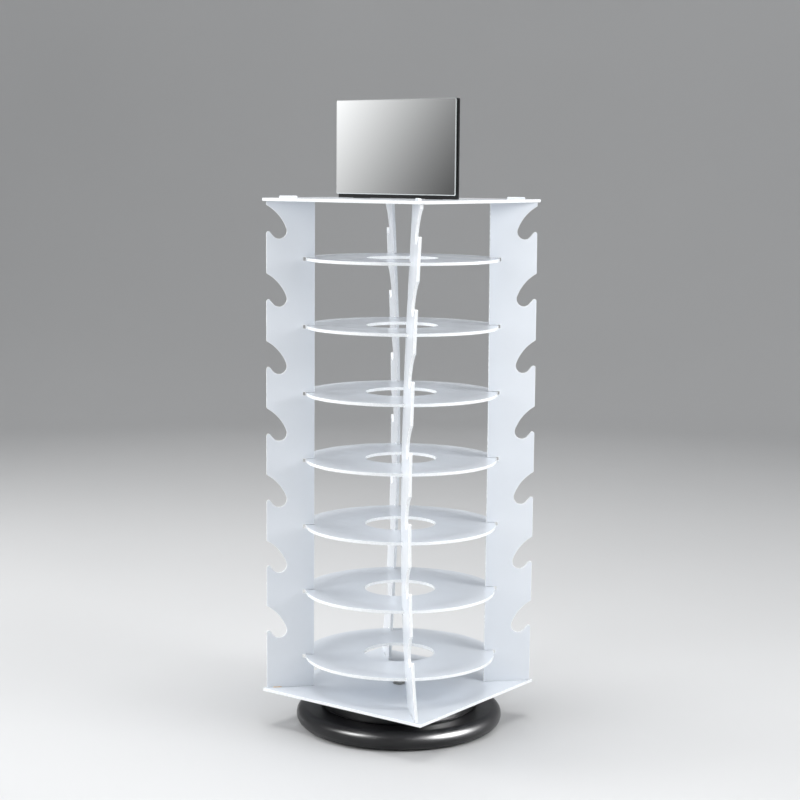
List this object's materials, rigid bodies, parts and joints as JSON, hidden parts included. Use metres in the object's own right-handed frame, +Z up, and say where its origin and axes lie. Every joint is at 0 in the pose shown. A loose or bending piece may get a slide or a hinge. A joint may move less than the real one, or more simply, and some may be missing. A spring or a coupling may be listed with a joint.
{
  "type": "rotating display rack",
  "caption": "Tall counter rack for glasses: four notched sheet fins and stacked rings between square plates, a mirror on top and a round turntable base.",
  "frame": {"origin": "on the turning axis, at the table top under the rubber feet", "axes": "+Z up along the turning axis; the mirror faces -Y at rest; the square plates' sides lie along X and Y and the four fins lie on the diagonals"},
  "size_m": [0.212, 0.212, 0.638],
  "materials": {
    "white_acrylic": "gloss white sheet with cut edges",
    "gloss_black": "high gloss black",
    "matte_black": "moulded satin black",
    "rubber": "matt black",
    "zinc_steel": "dull zinc plate",
    "race_steel": "pressed steel",
    "ball_steel": "polished bearing steel",
    "cage_nylon": "natural nylon",
    "tape_foam": "double-sided foam tape",
    "mirror_silver": "silvered mirror"
  },
  "bodies": {
    "base": {"base_shell": "gloss_black", "base_cover": "matte_black", "foot_1": "rubber", "foot_2": "rubber", "foot_3": "rubber", "foot_4": "rubber", "race_lower": "race_steel", "washer_lower": "zinc_steel"},
    "bearing": {"ball_cage": "cage_nylon", "ball_01": "ball_steel", "ball_02": "ball_steel", "ball_03": "ball_steel", "ball_04": "ball_steel", "ball_05": "ball_steel", "ball_06": "ball_steel", "ball_07": "ball_steel", "ball_08": "ball_steel", "ball_09": "ball_steel", "ball_10": "ball_steel", "ball_11": "ball_steel", "ball_12": "ball_steel"},
    "carousel": {"turntable_disc": "gloss_black", "race_upper": "race_steel", "plate_tape": "tape_foam", "pivot_bolt": "zinc_steel", "washer_upper": "zinc_steel", "pivot_nut": "zinc_steel", "bottom_plate": "white_acrylic", "fin_front_right": "white_acrylic", "fin_back_right": "white_acrylic", "fin_back_left": "white_acrylic", "fin_front_left": "white_acrylic", "ring_1": "white_acrylic", "ring_2": "white_acrylic", "ring_3": "white_acrylic", "ring_4": "white_acrylic", "ring_5": "white_acrylic", "ring_6": "white_acrylic", "ring_7": "white_acrylic", "top_plate": "white_acrylic", "mirror_backing": "gloss_black", "mirror_tape": "tape_foam", "mirror_glass": "mirror_silver"}
  },
  "joints": [
    {"name": "carousel_spin", "type": "hinge", "parent": "base", "child": "carousel", "pos_m": [0, 0, 0.0206], "axis": [0, 0, 1], "continuous": true},
    {"name": "bearing_roll", "type": "hinge", "parent": "base", "child": "bearing", "pos_m": [0, 0, 0.027], "axis": [0, 0, 1], "continuous": true}
  ],
  "couplings": [
    {"joint": "bearing_roll", "follows": "carousel_spin", "ratio": 0.5}
  ]
}
